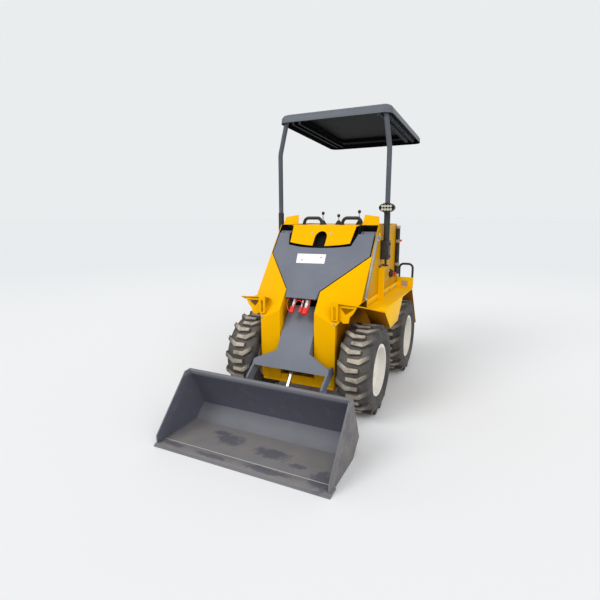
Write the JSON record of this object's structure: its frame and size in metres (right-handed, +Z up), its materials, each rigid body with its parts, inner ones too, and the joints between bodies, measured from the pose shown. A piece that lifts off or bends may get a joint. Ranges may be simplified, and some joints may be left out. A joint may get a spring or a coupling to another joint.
{
  "type": "compact wheeled skid steer loader",
  "caption": "Compact wheeled skid steer loader with a centre lift arm, a tilting bucket, a stand-on rear platform and a canopy on two posts.",
  "frame": {"origin": "on the ground under the middle of the machine's box", "axes": "+Z up, bucket towards -Y, +X to the machine's left"},
  "size_m": [1.06, 2.434, 1.9863],
  "materials": {
    "body_paint": "yellow paint, dusty",
    "grey_paint": "blue grey paint",
    "black_paint": "black paint",
    "black_plastic": "black moulded plastic",
    "red_plastic": "red moulded plastic",
    "plain_steel": "turned steel",
    "zinc_steel": "zinc plated steel",
    "chrome_rod": "polished chrome",
    "cast_metal": "dark cast metal",
    "wheel_paint": "off-white paint",
    "tyre_rubber": "dusty black rubber"
  },
  "bodies": {
    "root": {"chassis_frame": "body_paint", "front_panels": "body_paint", "tower_plates": "body_paint", "pivot_pins": "plain_steel", "front_fenders": "body_paint", "side_pods": "body_paint", "rear_guards": "body_paint", "hood": "body_paint", "slot_covers": "body_paint", "rear_cowl": "body_paint", "engine_block": "cast_metal", "hand_loops": "black_paint", "control_levers": "black_paint", "platform": "black_paint", "canopy_posts": "grey_paint", "canopy_roof": "grey_paint", "post_clamps": "grey_paint", "post_sleeves": "black_plastic", "clamp_levers": "black_plastic", "work_lamp": "black_plastic", "grab_hoops": "black_paint", "arm_prop": "zinc_steel", "side_tube": "black_plastic", "wheel_motors": "black_paint"},
    "lift_arm": {"arm_face": "grey_paint", "arm_legs": "grey_paint", "arm_column": "grey_paint", "couplers": "plain_steel", "coupler_caps": "red_plastic", "tilt_barrel": "black_paint"},
    "lift_barrel_pair": {"lift_barrels": "black_paint"},
    "lift_rod_pair": {"lift_rods": "chrome_rod"},
    "tilt_rod_body": {"tilt_rod": "chrome_rod"},
    "bucket_body": {"attach_frame": "grey_paint", "latch_handles": "zinc_steel", "bucket": "grey_paint", "cutting_edge": "grey_paint"},
    "wheel_front_left": {"rim_front_left": "wheel_paint", "tyre_front_left": "tyre_rubber"},
    "wheel_front_right": {"rim_front_right": "wheel_paint", "tyre_front_right": "tyre_rubber"},
    "wheel_rear_left": {"rim_rear_left": "wheel_paint", "tyre_rear_left": "tyre_rubber"},
    "wheel_rear_right": {"rim_rear_right": "wheel_paint", "tyre_rear_right": "tyre_rubber"}
  },
  "joints": [
    {"name": "arm_lift", "type": "hinge", "parent": "root", "child": "lift_arm", "pos_m": [0, 0.045, 1.12], "axis": [-1, 0, 0], "range_deg": [0, 80]},
    {"name": "bucket_tilt", "type": "hinge", "parent": "lift_arm", "child": "bucket_body", "pos_m": [0, -0.64, 0.09], "axis": [-1, 0, 0], "range_deg": [-115, 20]},
    {"name": "tilt_rod_slide", "type": "slide", "parent": "lift_arm", "child": "tilt_rod_body", "axis": [0, -0.6351, -0.7724], "range_m": [-0.02224, 0.12785]},
    {"name": "lift_barrel_swing", "type": "hinge", "parent": "root", "child": "lift_barrel_pair", "pos_m": [0, 0.3, 0.6], "axis": [-1, 0, 0], "range_deg": [0, 9.12]},
    {"name": "lift_rod_slide", "type": "slide", "parent": "lift_barrel_pair", "child": "lift_rod_pair", "axis": [0, -0.7071, 0.7071], "range_m": [0, 0.22619]},
    {"name": "wheel_spin_front_left", "type": "hinge", "parent": "root", "child": "wheel_front_left", "pos_m": [0.399, -0.272, 0.29], "axis": [1, 0, 0], "continuous": true},
    {"name": "wheel_spin_front_right", "type": "hinge", "parent": "root", "child": "wheel_front_right", "pos_m": [-0.399, -0.272, 0.29], "axis": [1, 0, 0], "continuous": true},
    {"name": "wheel_spin_rear_left", "type": "hinge", "parent": "root", "child": "wheel_rear_left", "pos_m": [0.399, 0.59, 0.29], "axis": [1, 0, 0], "continuous": true},
    {"name": "wheel_spin_rear_right", "type": "hinge", "parent": "root", "child": "wheel_rear_right", "pos_m": [-0.399, 0.59, 0.29], "axis": [1, 0, 0], "continuous": true}
  ],
  "couplings": [
    {"joint": "tilt_rod_slide", "follows": "bucket_tilt", "m_per_rad": -0.0637},
    {"joint": "lift_barrel_swing", "follows": "arm_lift", "ratio": 0.114},
    {"joint": "lift_rod_slide", "follows": "arm_lift", "m_per_rad": 0.162}
  ]
}
